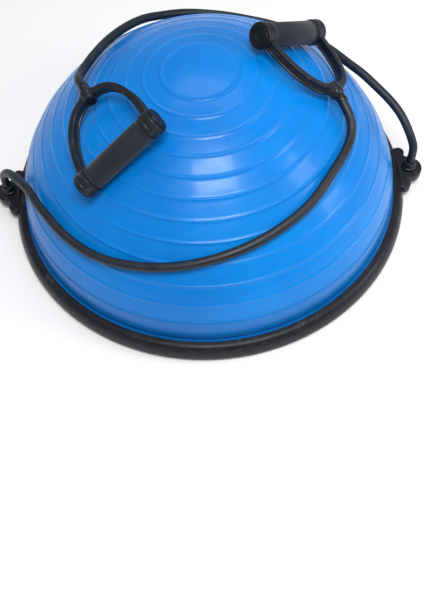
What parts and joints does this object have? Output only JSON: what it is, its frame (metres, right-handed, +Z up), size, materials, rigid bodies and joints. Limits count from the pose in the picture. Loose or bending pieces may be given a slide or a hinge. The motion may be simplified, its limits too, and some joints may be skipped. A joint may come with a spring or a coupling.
{
  "type": "balance dome trainer",
  "caption": "Inflated half-dome balance trainer on a round flat base, with elastic pull tubes anchored in side lugs and D-shaped handles.",
  "frame": {"origin": "centre of the round base, at the level of the floor under the feet", "axes": "+X from the base's centre to the right-hand anchor lug, +Y away from the viewer of the product picture, +Z up through the top of the dome"},
  "size_m": [0.66, 0.6, 0.279],
  "materials": {
    "platform_plastic": "matte moulded",
    "dome_vinyl": "glossy stretched vinyl",
    "ring_plastic": "satin moulded",
    "valve_rubber": "matte",
    "foot_rubber": "matte",
    "screw_steel": "blackened edges",
    "lug_plastic": "satin moulded",
    "collar_plastic": "semi-gloss",
    "tube_rubber": "satin latex",
    "handle_plastic": "satin moulded",
    "grip_foam": "matte foam rubber",
    "cap_plastic": "satin",
    "plug_plastic": "satin"
  },
  "bodies": {
    "base": {"anchor_collar_left": "collar_plastic", "anchor_collar_right": "collar_plastic", "anchor_lug_left": "lug_plastic", "anchor_lug_right": "lug_plastic", "anchor_stop_left": "plug_plastic", "anchor_stop_right": "plug_plastic", "base_platform": "platform_plastic", "dome_bladder": "dome_vinyl", "lug_screw_left_back": "screw_steel", "lug_screw_left_front": "screw_steel", "lug_screw_right_back": "screw_steel", "lug_screw_right_front": "screw_steel", "pull_tube_back": "tube_rubber", "pull_tube_front": "tube_rubber", "retaining_ring": "ring_plastic", "ring_screw_1": "screw_steel", "ring_screw_2": "screw_steel", "ring_screw_3": "screw_steel", "ring_screw_4": "screw_steel", "ring_screw_5": "screw_steel", "ring_screw_6": "screw_steel", "ring_screw_7": "screw_steel", "ring_screw_8": "screw_steel", "rubber_foot_1": "foot_rubber", "rubber_foot_2": "foot_rubber", "rubber_foot_3": "foot_rubber", "rubber_foot_4": "foot_rubber", "rubber_foot_5": "foot_rubber", "rubber_foot_6": "foot_rubber", "rubber_foot_7": "foot_rubber", "rubber_foot_8": "foot_rubber", "valve_seat": "valve_rubber"},
    "valve_plug": {"valve_plug": "plug_plastic"},
    "left_handle": {"handle_yoke_left": "handle_plastic", "hub_plug_left": "plug_plastic"},
    "left_grip": {"grip_core_left": "collar_plastic", "grip_sleeve_left": "grip_foam", "grip_cap_left_a": "cap_plastic", "grip_cap_left_b": "cap_plastic"},
    "right_handle": {"handle_yoke_right": "handle_plastic", "hub_plug_right": "plug_plastic"},
    "right_grip": {"grip_core_right": "collar_plastic", "grip_sleeve_right": "grip_foam", "grip_cap_right_a": "cap_plastic", "grip_cap_right_b": "cap_plastic"}
  },
  "joints": [
    {"name": "left_handle_lift", "type": "hinge", "parent": "base", "child": "left_handle", "pos_m": [-0.1474, -0.0199, 0.2344], "axis": [-0.7769, -0.301, -0.553], "range_deg": [0, 60]},
    {"name": "left_grip_spin", "type": "hinge", "parent": "left_handle", "child": "left_grip", "pos_m": [-0.10489, -0.11789, 0.22801], "axis": [0.7769, 0.301, 0.553], "continuous": true},
    {"name": "right_handle_lift", "type": "hinge", "parent": "base", "child": "right_handle", "pos_m": [0.1776, -0.0171, 0.208], "axis": [0.67, 0.563, -0.484], "range_deg": [0, 60]},
    {"name": "right_grip_spin", "type": "hinge", "parent": "right_handle", "child": "right_grip", "pos_m": [0.12191, 0.07075, 0.23311], "axis": [-0.67, -0.563, 0.484], "continuous": true},
    {"name": "valve_plug_pull", "type": "slide", "parent": "base", "child": "valve_plug", "axis": [0, 0, -1], "range_m": [0, 0.018]}
  ]
}
